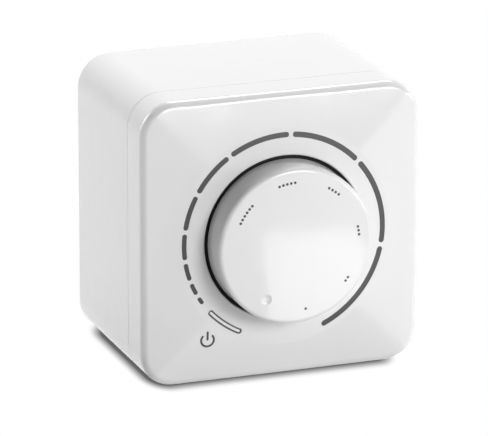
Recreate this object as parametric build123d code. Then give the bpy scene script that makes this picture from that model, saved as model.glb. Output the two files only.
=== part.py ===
from build123d import *

import os
from math import degrees, sqrt

# A surface-mounted rotary speed controller for a fan. All sizes are in millimetres and degrees.
# Each piece is modelled lying on the wall, with X to the right, Y up and Z out of the wall, from the
# wall's face at Z = 0. The finished part stands up: +Z is up, and its front looks along -Y.

# Back box
side = 82.0
corner = 9.5
wall = 2.2
back_wall = 2.5
box_depth = 44.1
back_round = 1.0
seam_chamfer = 0.12
pillar_radius = 3.75
pillar_inset = 8.8
pillar_drop = 3.1
pilot_radius = 1.3
pilot_depth = 14.0
gusset = 1.6
gusset_drop = 4.0
slot_spacing = 60.0
slot_radius = 2.2
slot_length = 8.0
slot_pad = 3.0
slot_pad_height = 1.0
entry_radius = 8.0
entry_up = 12.0
entry_lip = 1.6
entry_lip_height = 2.0
knockout_radius = 8.0
knockout_groove = 1.0
knockout_skin = 1.0
knockout_out = 22.0

# Front cover
cover_flank = 11.7
edge_round = 2.2
facet_rise = 2.02
dial_rise = 1.03
hip_angle = 2.4
hip_round = 1.2
well_radius = 23.58
well_depth = 5.45
well_wall = 1.8
well_floor = 2.0
rim_round = 0.5
collar_wall = 2.2
collar_gap = 0.1
tongue_depth = 3.0
tongue_wall = 1.3
tongue_root = 2.5
rib_wall = 1.4
rib_depth = 4.0
slip_gap = 0.15

# Marks inlaid in the dial: bars that grow clockwise, and the off mark
mark_offset = 5.82
dial_margin = 2.1
mark_spans = (4.5, 7.0, 10.0, 14.5, 19.5, 25.0, 34.5, 42.0, 50.5, 55.5)
mark_gap = 2.2
mark_start = -144.5
mark_width_first = 1.15
mark_width_last = 1.68
mark_depth = 0.5
mark_recess = 0.1
off_angle = -127.0
off_span = 23.0
off_width = 1.5
off_rim = 0.3

# Knob
knob_gap = 1.0
knob_dip = 0.55
knob_height = 10.7
knob_taper = 0.1
knob_round = 1.3
knob_dome = 1.2
knob_wall = 2.0
knob_top = 2.8
hub_wall = 2.4
knob_ribs = 6
knob_rib_wall = 1.2
knob_rib_lift = 2.0
dimple_radius = 17.05
dimple_angle = -121.8
dimple_width = 3.2
dimple_depth = 0.55
spring_thickness = 0.4
spring_width = 3.6
spring_length = 5.5

# Dark foam ring that lines the well's floor under the knob
dust_gap = 0.9
dust_inner = 10.0

# Potentiometer, its bush, nuts and washers
shaft_radius = 3.0
shaft_flat = 1.5
running_gap = 0.05
bush_radius = 5.0
bush_proud = 0.6
pot_radius = 12.0
pot_depth = 10.0
pot_edge = 0.8
switch_radius = 10.5
switch_depth = 8.0
shaft_reach = 8.0
pin_circle_radius = 8.0
pin_count = 5
key_out = 9.0
key_width = 2.4
key_thickness = 1.2
key_height = 1.3
nut_flats = 14.0
nut_height = 2.5
washer_wall = 3.0
washer_thickness = 0.5
clip_gap = 0.2
clip_thickness = 0.5
clip_wall = 1.6
clip_groove = 0.5
hub_gap = 0.5

# Mounting plate and its screws
plate_margin = 3.8
plate_corner = 4.0
plate_thickness = 1.5
screw_radius = 1.25
screw_hole_gap = 0.4
plate_screw_length = 10.0
screw_head_radius = 2.9
screw_head_height = 1.9
driver_slot = 0.7

# Circuit board and its spacers
board_gap = 3.0
board_thickness = 1.6
board_margin = 1.25
board_corner = 1.5
lead_radius = 0.4
lead_gap = 0.1
lead_proud = 1.0
spacer_flats = 5.5
spacer_inset = 4.0
spacer_screw_length = 6.0

# Choke
core_outer = 8.0
core_inner = 4.6
core_height = 7.0
winding_thickness = 0.8
winding_turns = 18
winding_gap = 0.1

# Triac
triac_out = 20.5
triac_drop = 15.0
triac_width = 10.0
triac_length = 9.0
triac_thickness = 3.2
tab_beyond = 6.5
tab_thickness = 1.3
tab_hole = 1.8
tab_hole_inset = 2.8
pad_thickness = 0.25
pad_margin = 0.5
triac_lead_spacing = 2.54
triac_lead_out = 3.0
triac_nut_flats = 5.5
triac_nut_height = 2.4

# Capacitors
film_at = (18.5, -11.5)
film_size = (16.0, 7.5, 13.0)
film_pitch = 12.0
timing_at = (2.0, -18.0)
timing_size = (7.2, 3.5, 8.0)
timing_pitch = 5.0
case_round = 0.6

# Diac and resistors
diac_at = (10.0, -20.0)
diac_radius = 0.95
diac_length = 4.0
diac_pitch = 7.0
resistor_at = (-21.0, -17.0)
resistor_count = 3
resistor_step = 3.6
resistor_radius = 1.2
resistor_length = 6.3
resistor_waist = 0.25
resistor_pitch = 9.5
axial_lift = 0.4
lead_bend = 0.8

# Fuse
fuse_at = (0.0, 18.0)
fuse_lift = 4.2
glass_radius = 2.4
glass_wall = 0.5
fuse_length = 20.0
cap_length = 5.0
cap_wall = 0.25
clip_sheet = 0.4
clip_width = 4.0
clip_mouth = 3.0
fuse_pin_pitch = 4.0

# Trimmer
trimmer_at = (-8.5, -18.5)
trimmer_side = 9.0
trimmer_height = 4.6
rotor_radius = 3.0
rotor_depth = 1.8
rotor_stem = 1.0
rotor_stem_length = 1.6
rotor_slot = 0.8
trimmer_pitch = 5.0
access_radius = 2.5

# Terminal block
terminal_at = (0.0, -17.5)
terminal_ways = 4
terminal_step = 7.0
terminal_depth = 10.0
terminal_height = 11.5
terminal_end = 1.0
terminal_rebate = 1.2
clamp_width = 4.4
clamp_height = 4.6
clamp_length = 6.5
clamp_wall = 0.7
clamp_inset = 1.0
clamp_drop = 2.6
clamp_gap = 0.05
terminal_screw_radius = 1.2
terminal_head_radius = 1.7
terminal_head_height = 1.4
terminal_head_sunk = 0.4

# Heights above the wall's face and other places that follow from the sizes
half = side / 2
inside = half - wall
plate_back = box_depth - pillar_drop
plate_front = plate_back + plate_thickness
edge_z = box_depth + cover_flank
dial_z = edge_z + facet_rise
rim_z = dial_z + dial_rise
floor_front = rim_z - well_depth
floor_back = floor_front - well_floor
mark_radius = well_radius + mark_offset
dial_radius = mark_radius + dial_margin
nut_radius = nut_flats / sqrt(3)
collar_radius = nut_radius + 2 * slip_gap
pillar_at = inside - pillar_inset
bush_top = floor_front + washer_thickness + nut_height + bush_proud
clip_low = bush_top + clip_gap
hub_low = clip_low + clip_thickness + hub_gap
knob_low = rim_z - knob_dip
knob_high = knob_low + knob_height
knob_ceiling = knob_high - knob_top
skirt_radius = well_radius - knob_gap
face_radius = skirt_radius - knob_taper
shaft_top = knob_ceiling - clip_gap
pot_back = plate_back - pot_depth
switch_back = pot_back - switch_depth
board_front = switch_back - board_gap
board_back = board_front - board_thickness
lead_low = board_back - lead_proud
board_half_x = inside - plate_margin
board_half_y = pillar_at - pillar_radius - board_margin
spacer_at = (board_half_x - spacer_inset, board_half_y - spacer_inset)
winding_radius = core_outer + winding_thickness + winding_gap
choke_at = (winding_radius + board_margin - board_half_x, 4.0)
tab_back = plate_back - pad_thickness - tab_thickness
triac_at = (triac_out, spacer_at[1] - triac_drop)
tab_length = triac_length + tab_beyond
tab_hole_at = (triac_out, triac_at[1] + triac_length / 2 + tab_beyond - tab_hole_inset)
core_low = board_front + winding_thickness + winding_gap
fuse_z = board_front + fuse_lift
terminal_low = board_back - terminal_height


# Plain forms, placed by their heights above the wall


def disc(radius, low, high, at=(0, 0)):
    return Pos(at[0], at[1], low) * extrude(Circle(radius), high - low)


def ring(outer, inner, low, high, at=(0, 0)):
    return disc(outer, low, high, at) - disc(inner, low, high, at)


def block(width, depth, low, high, at=(0, 0), rounding=0.0):
    outline = RectangleRounded(width, depth, rounding) if rounding else Rectangle(width, depth)
    return Pos(at[0], at[1], low) * extrude(outline, high - low)


def hexagon(flats, low, high, at=(0, 0)):
    return Pos(at[0], at[1], low) * extrude(RegularPolygon(flats / 2, 6, major_radius=False), high - low)


def bent_wire(points, radius):
    path = FilletPolyline(*points, radius=lead_bend)
    return sweep((path ^ 0) * Circle(radius), path=path)


def corners(x, y):
    return [(x, y), (-x, y), (-x, -y), (x, -y)]


def edges_at(solid, z):
    """The edges of a solid that lie wholly at one height."""
    return [edge for edge in solid.edges() if abs(edge.bounding_box().min.Z - z) < 1e-4
            and abs(edge.bounding_box().max.Z - z) < 1e-4]


def pan_screw(head_z, length, at, towards_wall=True):
    """A pan-headed screw whose head rests at head_z, with a slot for a driver."""
    head = disc(screw_head_radius, 0, screw_head_height)
    head = fillet(edges_at(head, screw_head_height), screw_head_height / 3)
    head -= block(2 * screw_head_radius, driver_slot, screw_head_height / 2, screw_head_height)
    screw = head + disc(screw_radius, -length, 0)
    turn = Rot() if towards_wall else Rot(180, 0, 0)
    return Pos(at[0], at[1], head_z) * turn * screw


# Housing


def section(inset, z):
    width = side - 2 * inset
    return Pos(0, 0, z) * RectangleRounded(width, width, corner - inset)


def back_box():
    """A deep moulded box with screw pillars, wall slots, a cable entry and one knock-out below."""
    shell = extrude(section(0, 0), box_depth)
    shell = fillet(edges_at(shell, 0), back_round)
    shell = chamfer(edges_at(shell, box_depth), seam_chamfer)
    shell -= extrude(section(wall, back_wall), box_depth)
    for x, y in corners(pillar_at, pillar_at):
        web = pillar_inset * sqrt(2)
        turn = Rot(0, 0, 45 if x * y > 0 else -45)
        shift = Pos(web / 2 if x > 0 else -web / 2, 0, 0)
        gusset_top = plate_back - gusset_drop
        ridge = Pos(x, y, 0) * turn * shift * block(web, gusset, back_wall, gusset_top)
        shell += ridge & extrude(section(wall / 2, 0), box_depth)
        shell += disc(pillar_radius, back_wall, plate_back, (x, y))
        shell -= disc(pilot_radius, plate_back - pilot_depth, plate_back, (x, y))
    for x in (-slot_spacing / 2, slot_spacing / 2):
        pad = SlotOverall(slot_length + 2 * slot_pad, 2 * (slot_radius + slot_pad))
        slot = SlotOverall(slot_length, 2 * slot_radius)
        pad_solid = Pos(x, 0, 0) * extrude(pad, back_wall + slot_pad_height)
        shell += pad_solid & extrude(section(wall / 2, back_wall / 2), box_depth)
        shell -= Pos(x, 0, 0) * extrude(slot, box_depth)
    lip_top = back_wall + entry_lip_height
    shell += disc(entry_radius + entry_lip, back_wall / 2, lip_top, (0, entry_up))
    shell -= disc(entry_radius, 0, lip_top, (0, entry_up))
    groove = ring(knockout_radius, knockout_radius - knockout_groove, knockout_skin, wall)
    return shell - Pos(0, -half, knockout_out) * Rot(-90, 0, 0) * groove


def dial_body(drop):
    """The dial's shallow cone with what lies under it, moved towards the wall."""
    core = well_radius / 2
    top = dial_z + dial_rise * (dial_radius - core) / (dial_radius - well_radius) - drop
    outline = Polyline(
        (0, edge_z - wall),
        (dial_radius, edge_z - wall),
        (dial_radius, dial_z - drop),
        (core, top),
        (0, top),
        close=True,
    )
    return revolve(Plane.XZ * make_face(outline), Axis.Z)


def dial_outline(z):
    """The dial's edge as a long arc over each facet and a short one over each hip."""
    arcs = []
    for quarter in range(4):
        hip = 45 + 90 * quarter
        arcs.append(CenterArc((0, 0, z), dial_radius, hip - hip_angle / 2, hip_angle))
        arcs.append(CenterArc((0, 0, z), dial_radius, hip + hip_angle / 2, 90 - hip_angle))
    return Face(Wire(arcs))


def crown(inset, drop):
    """The cover's form: four facets with narrow hips rise to the dial's cone, all cut to the rounded outline."""
    width = side - 2 * inset
    square = RectangleRounded(width, width, hip_round)
    flanks = Pos(0, 0, box_depth) * extrude(square, edge_z - drop - box_depth)
    facets = loft([(Pos(0, 0, edge_z - drop) * square).face(), dial_outline(dial_z - drop)], ruled=True)
    return (flanks + facets + dial_body(drop)) & extrude(section(inset, box_depth), 2 * cover_flank)


def edge_line(shell):
    """The edges where the cover's flanks meet its facets, which rise a little at the corners."""
    line = []
    for edge in shell.edges():
        box = edge.bounding_box()
        if box.min.Z > edge_z - 1e-4 and box.max.Z < edge_z + facet_rise / 2 and edge.length > 0.01:
            line.append(edge)
    return line


def mark_bar(middle, span, width):
    """A bar with round ends, bent round the dial. Its span counts the ends."""
    ends = degrees(width / mark_radius)
    line = CenterArc((0, 0), mark_radius, middle - (span - ends) / 2, span - ends)
    return Pos(0, 0, edge_z) * extrude(SlotArc(line, width), well_depth)


def scale_bars():
    """The bars of the scale, clockwise from the shortest."""
    bars = []
    start = mark_start
    for place, span in enumerate(mark_spans):
        share = place / (len(mark_spans) - 1)
        width = mark_width_first + share * (mark_width_last - mark_width_first)
        bars.append(mark_bar(start - span / 2, span, width))
        start -= span + mark_gap
    return bars


def off_bar(inset):
    return mark_bar(off_angle, off_span - 2 * degrees(inset / mark_radius), off_width - 2 * inset)


def inlay(bar):
    """What fills a mark's groove, a little below the dial's surface."""
    return bar & dial_body(mark_recess) - dial_body(mark_depth)


def front_cover():
    """A moulded cover whose facets rise to a round dial, with a well for the knob in its middle."""
    shell = crown(0, 0)
    shell = fillet(edge_line(shell), edge_round)
    shell = chamfer(edges_at(shell, box_depth), seam_chamfer)
    shell -= crown(wall, wall)
    for x_rib in (True, False):
        size = (2 * inside, rib_wall) if x_rib else (rib_wall, 2 * inside)
        shell += block(*size, edge_z - wall - rib_depth, edge_z) & crown(wall / 2, wall / 2)
    tongue_half = inside - slip_gap
    tongue_low = box_depth - tongue_depth
    shell += extrude(section(wall / 2, box_depth), tongue_root) - extrude(
        section(half - tongue_half + tongue_wall, box_depth), tongue_root
    )
    shell += extrude(section(half - tongue_half, tongue_low), tongue_depth) - extrude(
        section(half - tongue_half + tongue_wall, tongue_low), tongue_depth
    )
    shell += disc(well_radius + well_wall, floor_back, dial_z)
    shell += disc(collar_radius + collar_wall, plate_front + collar_gap, floor_back)
    shell -= disc(collar_radius, 0, floor_back)
    shell -= disc(bush_radius + slip_gap, floor_back, floor_front)
    shell -= disc(well_radius, floor_front, rim_z + well_depth)
    shell = fillet(edges_at(shell, rim_z), rim_round)
    for bar in scale_bars() + [off_bar(0)]:
        shell -= bar - dial_body(mark_depth)
    return shell


def scale_marks():
    return Compound(children=[inlay(bar) for bar in scale_bars()])


def off_mark():
    return inlay(off_bar(off_rim))


def off_mark_rim():
    return inlay(off_bar(0)) - off_bar(off_rim)


# Knob and what turns with it


def flat_bore(radius, flat, low, high):
    """A round rod or bore with a flat on its upper side."""
    outline = Circle(radius) & Pos(0, flat - radius) * Rectangle(2 * radius, 2 * radius)
    return Pos(0, 0, low) * extrude(outline, high - low)


def knob():
    """A hollow, slightly tapered knob with a domed face, a ribbed hub and a pointer dimple."""
    dome_radius = (face_radius**2 + knob_dome**2) / (2 * knob_dome)
    cap = Pos(0, 0, (knob_low + knob_high) / 2) * Cone(skirt_radius, face_radius, knob_high - knob_low)
    cap &= Pos(0, 0, knob_high - dome_radius) * Rot(0, 90, 0) * Sphere(dome_radius)
    cap = fillet(cap.edges().sort_by(Axis.Z)[-1], knob_round)
    hollow_height = knob_ceiling - knob_low
    hollow = Cone(skirt_radius - knob_wall, face_radius - knob_wall, hollow_height)
    cap -= Pos(0, 0, knob_low + hollow_height / 2) * hollow
    hub_radius = shaft_radius + hub_wall
    cap += disc(hub_radius, hub_low, knob_high - knob_top / 2)
    web = face_radius - knob_wall / 2 - shaft_radius - hub_wall / 2
    rib = block(web, knob_rib_wall, hub_low + knob_rib_lift, knob_high - knob_top / 2)
    for turn in range(knob_ribs):
        out = shaft_radius + hub_wall / 2 + web / 2
        cap += Rot(0, 0, 360 / knob_ribs * (turn + 0.5)) * Pos(out, 0, 0) * rib
    bore_flat = shaft_flat + spring_thickness + 2 * running_gap
    cap -= flat_bore(shaft_radius + running_gap, bore_flat, hub_low, knob_ceiling)
    ball = (dimple_width**2 / 4 + dimple_depth**2) / (2 * dimple_depth)
    face_at_dimple = knob_high - knob_dome * (dimple_radius / face_radius) ** 2
    dimple = Rot(0, 0, dimple_angle) * Pos(dimple_radius, 0, face_at_dimple + ball - dimple_depth)
    return cap - dimple * Rot(90, 0, 0) * Sphere(ball)


def dust_ring():
    """A foam ring in the well that keeps dust and light out from under the knob."""
    return ring(well_radius - slip_gap, dust_inner, floor_front, knob_low - dust_gap)


def knob_spring():
    low = (hub_low + shaft_top - spring_length) / 2
    at = (0, shaft_flat + running_gap + spring_thickness / 2)
    return block(spring_width, spring_thickness, low, low + spring_length, at)


def pot_shaft():
    """A round shaft with a flat where the knob grips it and a groove for its clip."""
    low = plate_back - shaft_reach
    shaft = disc(shaft_radius, low, shaft_top)
    shaft = chamfer(edges_at(shaft, shaft_top), clip_groove)
    shaft -= disc(shaft_radius, hub_low, shaft_top) - flat_bore(shaft_radius, shaft_flat, hub_low, shaft_top)
    return shaft - ring(shaft_radius, shaft_radius - clip_groove, clip_low, clip_low + clip_thickness)


def shaft_clip():
    inner = shaft_radius - clip_groove + running_gap
    clip = ring(inner + clip_wall, inner, clip_low, clip_low + clip_thickness)
    mouth = block(2 * inner * 0.8, 2 * shaft_radius, clip_low, clip_low + clip_thickness, (0, -shaft_radius))
    return clip - mouth


# Potentiometer and what clamps it


def pot_body():
    """The can with a pocket for the shaft's end and a key that stops it turning on the plate."""
    can = disc(pot_radius, pot_back, plate_back)
    can = fillet(edges_at(can, pot_back), pot_edge)
    can -= disc(shaft_radius + running_gap, plate_back - shaft_reach - clip_gap, plate_back)
    return can + block(key_thickness, key_width, plate_back, plate_back + key_height, (key_out, 0))


def pot_switch():
    can = disc(switch_radius, switch_back, pot_back)
    return fillet(edges_at(can, switch_back), pot_edge)


def pin_places():
    return [(place.position.X, place.position.Y) for place in PolarLocations(pin_circle_radius, pin_count)]


def pot_pins():
    return Compound(children=[disc(lead_radius, lead_low, switch_back, at) for at in pin_places()])


def pot_bush():
    return ring(bush_radius, shaft_radius + running_gap, plate_back, bush_top)


def bush_nut(low):
    return hexagon(nut_flats, low, low + nut_height) - disc(bush_radius + running_gap, low, low + nut_height)


def bush_washer(low):
    inner = bush_radius + running_gap
    return ring(inner + washer_wall, inner, low, low + washer_thickness)


# Mounting plate


def mounting_plate():
    """A flat plate on the box's pillars, which carries everything inside."""
    width = 2 * (inside - plate_margin)
    plate = block(width, width, plate_back, plate_front, rounding=plate_corner)
    holes = corners(pillar_at, pillar_at) + corners(*spacer_at) + [tab_hole_at]
    for at in holes:
        plate -= disc(screw_radius + screw_hole_gap, plate_back, plate_front, at)
    plate -= disc(bush_radius + slip_gap, plate_back, plate_front)
    plate -= disc(access_radius, plate_back, plate_front, trimmer_at)
    key_hole = (key_thickness + 2 * slip_gap, key_width + 2 * slip_gap)
    return plate - block(*key_hole, plate_back, plate_front, (key_out, 0))


def plate_screws():
    places = corners(pillar_at, pillar_at)
    return Compound(children=[pan_screw(plate_front, plate_screw_length, at) for at in places])


# Circuit board, with the places of every lead that goes through it


def pair(at, pitch):
    return [(at[0] - pitch / 2, at[1]), (at[0] + pitch / 2, at[1])]


def resistor_places():
    first = resistor_at[1] - resistor_step * (resistor_count - 1) / 2
    return [(resistor_at[0], first + resistor_step * place) for place in range(resistor_count)]


def triac_leads_at():
    y = triac_at[1] - triac_length / 2 - triac_lead_out
    return [(triac_at[0] + triac_lead_spacing * place, y) for place in (-1, 0, 1)]


def trimmer_pins_at():
    x, y = trimmer_at
    return pair(trimmer_at, trimmer_pitch) + [(x, y + trimmer_pitch / 2)]


def fuse_clips_at():
    return pair(fuse_at, fuse_length - cap_length)


def fuse_pins_at():
    return [(x, fuse_at[1] + y) for x, _ in fuse_clips_at() for y in (-fuse_pin_pitch / 2, fuse_pin_pitch / 2)]


def choke_leads_at():
    out = core_outer + winding_gap + winding_thickness / 2
    return [(choke_at[0], choke_at[1] - out), (choke_at[0], choke_at[1] + out)]


def terminal_places():
    first = terminal_at[0] - terminal_step * (terminal_ways - 1) / 2
    return [(first + terminal_step * place, terminal_at[1]) for place in range(terminal_ways)]


def board_holes():
    places = pin_places() + triac_leads_at() + trimmer_pins_at() + fuse_pins_at() + choke_leads_at()
    places += pair(film_at, film_pitch) + pair(timing_at, timing_pitch) + pair(diac_at, diac_pitch)
    for at in resistor_places():
        places += pair(at, resistor_pitch)
    return places + terminal_places()


def circuit_board():
    size = (2 * board_half_x, 2 * board_half_y)
    board = block(*size, board_back, board_front, rounding=board_corner)
    for at in corners(*spacer_at):
        board -= disc(screw_radius + screw_hole_gap, board_back, board_front, at)
    for at in board_holes():
        board -= disc(lead_radius + lead_gap, board_back, board_front, at)
    return board


def board_spacers():
    """Hexagonal posts between the board and the plate, open at both ends for their screws."""
    posts = []
    for at in corners(*spacer_at):
        post = hexagon(spacer_flats, board_front, plate_back, at)
        posts.append(post - disc(screw_radius + running_gap, board_front, plate_back, at))
    return Compound(children=posts)


def spacer_screws():
    screws = []
    for at in corners(*spacer_at):
        screws.append(pan_screw(plate_front, plate_thickness + spacer_screw_length, at))
        screws.append(pan_screw(board_back, board_thickness + spacer_screw_length, at, towards_wall=False))
    return Compound(children=screws)


# Choke


def choke_core():
    core = ring(core_outer, core_inner, core_low, core_low + core_height, choke_at)
    round_edges = edges_at(core, core_low) + edges_at(core, core_low + core_height)
    return fillet(round_edges, case_round)


def choke_winding():
    """Turns of thick wire round the ring core, the two end turns with a lead to the board."""
    skin = winding_thickness + winding_gap
    width = core_outer - core_inner
    middle = (core_outer + core_inner) / 2
    window = Rectangle(width + 2 * winding_gap, core_height + 2 * winding_gap)
    turn_outline = RectangleRounded(width + 2 * skin, core_height + 2 * skin, skin) - window
    lead_at = core_outer + winding_gap + winding_thickness / 2
    turns = []
    for place in range(winding_turns):
        angle = 90 + 360 / winding_turns * place
        turn = extrude(Plane.XZ * turn_outline, winding_thickness / 2, both=True)
        turn = Pos(middle, 0, core_low + core_height / 2) * turn
        if angle % 180 == 90:
            turn += disc(lead_radius, lead_low, core_low + core_height / 2, (lead_at, 0))
        turns.append(Pos(*choke_at, 0) * Rot(0, 0, angle) * turn)
    return Compound(children=turns)


# Triac, clamped to the back of the mounting plate


def triac_pad():
    width = triac_width + 2 * pad_margin
    length = tab_length + 2 * pad_margin
    at = (triac_at[0], triac_at[1] + (tab_length - triac_length) / 2)
    pad = block(width, length, plate_back - pad_thickness, plate_back, at)
    return pad - disc(tab_hole, plate_back - pad_thickness, plate_back, tab_hole_at)


def triac_tab():
    at = (triac_at[0], triac_at[1] + (tab_length - triac_length) / 2)
    tab = block(triac_width, tab_length, tab_back, tab_back + tab_thickness, at)
    return tab - disc(tab_hole, tab_back, tab_back + tab_thickness, tab_hole_at)


def triac_body():
    low = tab_back - triac_thickness
    body = block(triac_width, triac_length, low, tab_back, triac_at)
    return chamfer(edges_at(body, low), case_round)


def triac_leads():
    z = tab_back - triac_thickness / 2
    end = triac_at[1] - triac_length / 2
    leads = []
    for x, y in triac_leads_at():
        leads.append(bent_wire([(x, end, z), (x, y, z), (x, y, lead_low)], lead_radius))
    return Compound(children=leads)


def triac_screw():
    nut_low = tab_back - triac_nut_height
    return pan_screw(plate_front, plate_front - nut_low, tab_hole_at)


def triac_nut():
    low = tab_back - triac_nut_height
    nut = hexagon(triac_nut_flats, low, tab_back, tab_hole_at)
    return nut - disc(screw_radius + running_gap, low, tab_back, tab_hole_at)


# Parts soldered to the board


def boxed_capacitor(at, size, pitch):
    """A moulded case on the board, with its two leads."""
    width, depth, height = size
    case = block(width, depth, board_front, board_front + height, at)
    case = fillet(edges_at(case, board_front + height), case_round)
    for place in pair(at, pitch):
        case += disc(lead_radius, lead_low, board_front, place)
    return case


def axial_part(at, pitch, body):
    """A round body that lies along X just above the board, with its leads bent down through it."""
    z = body.bounding_box().max.Z + axial_lift + board_front
    (left, y), (right, _) = pair(at, pitch)
    lead = bent_wire([(left, y, lead_low), (left, y, z), (right, y, z), (right, y, lead_low)], lead_radius)
    return Pos(at[0], at[1], z) * body + lead


def diac():
    body = Rot(0, 90, 0) * disc(diac_radius, -diac_length / 2, diac_length / 2)
    return axial_part(diac_at, diac_pitch, fillet(body.edges(), diac_radius / 3))


def resistors():
    """Each body is thicker at its two ends, where the caps are."""
    cap = resistor_length / 4
    body = disc(resistor_radius - resistor_waist, -resistor_length / 2, resistor_length / 2)
    for end in (-1, 1):
        low = end * (resistor_length - cap) / 2 - cap / 2
        bulge = disc(resistor_radius, low, low + cap)
        body += fillet(bulge.edges(), resistor_waist)
    body = Rot(0, 90, 0) * body
    return Compound(children=[axial_part(at, resistor_pitch, body) for at in resistor_places()])


def lying(x, solid):
    """A piece of the fuse, turned to lie along X at the fuse's height."""
    return Pos(x, fuse_at[1], fuse_z) * Rot(0, 90, 0) * solid


def fuse_tube():
    return lying(fuse_at[0], ring(glass_radius, glass_radius - glass_wall, -fuse_length / 2, fuse_length / 2))


def fuse_caps():
    """A cup over each end of the tube."""
    cup = disc(glass_radius + cap_wall, -cap_wall, cap_length) - disc(glass_radius, 0, cap_length)
    left = lying(fuse_at[0] - fuse_length / 2, cup)
    right = lying(fuse_at[0] + fuse_length / 2, Rot(0, 180, 0) * cup)
    return Compound(children=[left, right])


def fuse_clips():
    """Open rings of spring sheet that hold the caps, each on two pins."""
    grip = glass_radius + cap_wall
    spring = ring(grip + clip_sheet, grip, -clip_width / 2, clip_width / 2)
    mouth = block(2 * grip, clip_mouth, -clip_width / 2, clip_width / 2, (-grip, 0))
    clips = []
    for x, y in fuse_clips_at():
        clip = lying(x, spring - mouth)
        foot = block(clip_width, fuse_pin_pitch + 2 * lead_radius, board_front, fuse_z - grip, (x, y))
        clip += foot - lying(x, disc(grip, -clip_width, clip_width))
        for pin_x, pin_y in fuse_pins_at():
            if pin_x == x:
                clip += disc(lead_radius, lead_low, board_front, (pin_x, pin_y))
        clips.append(clip)
    return Compound(children=clips)


# Trimmer that sets the lowest speed


def trimmer_base():
    """A square base with a round pocket and a bore for the rotor."""
    top = board_front + trimmer_height
    base = block(trimmer_side, trimmer_side, board_front, top, trimmer_at, case_round)
    base -= disc(rotor_radius + running_gap, top - rotor_depth, top, trimmer_at)
    base -= disc(rotor_stem + running_gap, top - rotor_depth - rotor_stem_length, top, trimmer_at)
    for at in trimmer_pins_at():
        base += disc(lead_radius, lead_low, board_front, at)
    return base


def trimmer_rotor():
    top = board_front + trimmer_height
    low = top - rotor_depth + running_gap
    rotor = disc(rotor_radius, low, top, trimmer_at)
    rotor -= block(2 * rotor_radius, rotor_slot, (low + top) / 2, top, trimmer_at)
    return rotor + disc(rotor_stem, low - rotor_stem_length + 2 * running_gap, low, trimmer_at)


# Terminal block, under the board, with wire entries that look down


def clamp_span():
    low = terminal_low + clamp_drop
    return low, low + clamp_height


def clamp_middle(y):
    return y - terminal_depth / 2 + clamp_inset + clamp_length / 2


def terminal_block():
    width = terminal_ways * terminal_step + 2 * terminal_end
    body = block(width, terminal_depth, terminal_low, board_back, terminal_at)
    body = chamfer(edges_at(body, terminal_low), terminal_rebate)
    low, high = clamp_span()
    pocket = clamp_length + clamp_inset
    for x, y in terminal_places():
        size = (clamp_width + 2 * clamp_gap, pocket)
        mouth_at = (x, y - terminal_depth / 2 + pocket / 2)
        body -= block(*size, low - clamp_gap, high + clamp_gap, mouth_at)
        middle = clamp_middle(y)
        body -= disc(terminal_head_radius + slip_gap, terminal_low, low, (x, middle))
        body -= disc(lead_radius + lead_gap, high, board_back, (x, y))
    relief = (width - 2 * terminal_end, terminal_depth - 2 * terminal_end)
    return body - block(*relief, lead_low - slip_gap, board_back, terminal_at)


def terminal_clamps():
    """A square sleeve for each wire, with a hole for its screw and a pin to the board."""
    low, high = clamp_span()
    clamps = []
    for x, y in terminal_places():
        at = (x, clamp_middle(y))
        sleeve = block(clamp_width, clamp_length, low, high, at)
        opening = (clamp_width - 2 * clamp_wall, clamp_length)
        sleeve -= block(*opening, low + clamp_wall, high - clamp_wall, at)
        sleeve -= disc(terminal_screw_radius + running_gap, low, low + clamp_wall, at)
        clamps.append(sleeve + disc(lead_radius, high - clamp_wall / 2, board_front - lead_gap, (x, y)))
    return Compound(children=clamps)


def terminal_screws():
    low, high = clamp_span()
    tip = (low + high) / 2
    screws = []
    for x, y in terminal_places():
        at = (x, clamp_middle(y))
        head_low = terminal_low + terminal_head_sunk
        head = disc(terminal_head_radius, head_low, head_low + terminal_head_height, at)
        head -= block(2 * terminal_head_radius, driver_slot, head_low, head_low + driver_slot, at)
        screws.append(head + disc(terminal_screw_radius, head_low + driver_slot, tip, at))
    return Compound(children=screws)


pieces = {
    "back_box": back_box(),
    "front_cover": front_cover(),
    "scale_marks": scale_marks(),
    "off_mark": off_mark(),
    "off_mark_rim": off_mark_rim(),
    "knob": knob(),
    "dust_ring": dust_ring(),
    "knob_spring": knob_spring(),
    "pot_shaft": pot_shaft(),
    "shaft_clip": shaft_clip(),
    "pot_body": pot_body(),
    "pot_switch": pot_switch(),
    "pot_pins": pot_pins(),
    "pot_bush": pot_bush(),
    "pot_washer": bush_washer(plate_front),
    "pot_nut": bush_nut(plate_front + washer_thickness),
    "cover_washer": bush_washer(floor_front),
    "cover_nut": bush_nut(floor_front + washer_thickness),
    "mounting_plate": mounting_plate(),
    "plate_screws": plate_screws(),
    "circuit_board": circuit_board(),
    "board_spacers": board_spacers(),
    "spacer_screws": spacer_screws(),
    "choke_core": choke_core(),
    "choke_winding": choke_winding(),
    "triac_pad": triac_pad(),
    "triac_tab": triac_tab(),
    "triac_body": triac_body(),
    "triac_leads": triac_leads(),
    "triac_screw": triac_screw(),
    "triac_nut": triac_nut(),
    "suppression_capacitor": boxed_capacitor(film_at, film_size, film_pitch),
    "timing_capacitor": boxed_capacitor(timing_at, timing_size, timing_pitch),
    "diac": diac(),
    "resistors": resistors(),
    "fuse_tube": fuse_tube(),
    "fuse_caps": fuse_caps(),
    "fuse_clips": fuse_clips(),
    "trimmer_base": trimmer_base(),
    "trimmer_rotor": trimmer_rotor(),
    "terminal_block": terminal_block(),
    "terminal_clamps": terminal_clamps(),
    "terminal_screws": terminal_screws(),
}

stand_up = Rot(90, 0, 0)
os.makedirs("parts", exist_ok=True)
for name, piece in pieces.items():
    export_step(stand_up * piece, f"parts/{name}.step")
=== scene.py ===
"""Dresses the frame of a rotary speed controller: finishes, printed signs, solder, a thread and a studio."""

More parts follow.
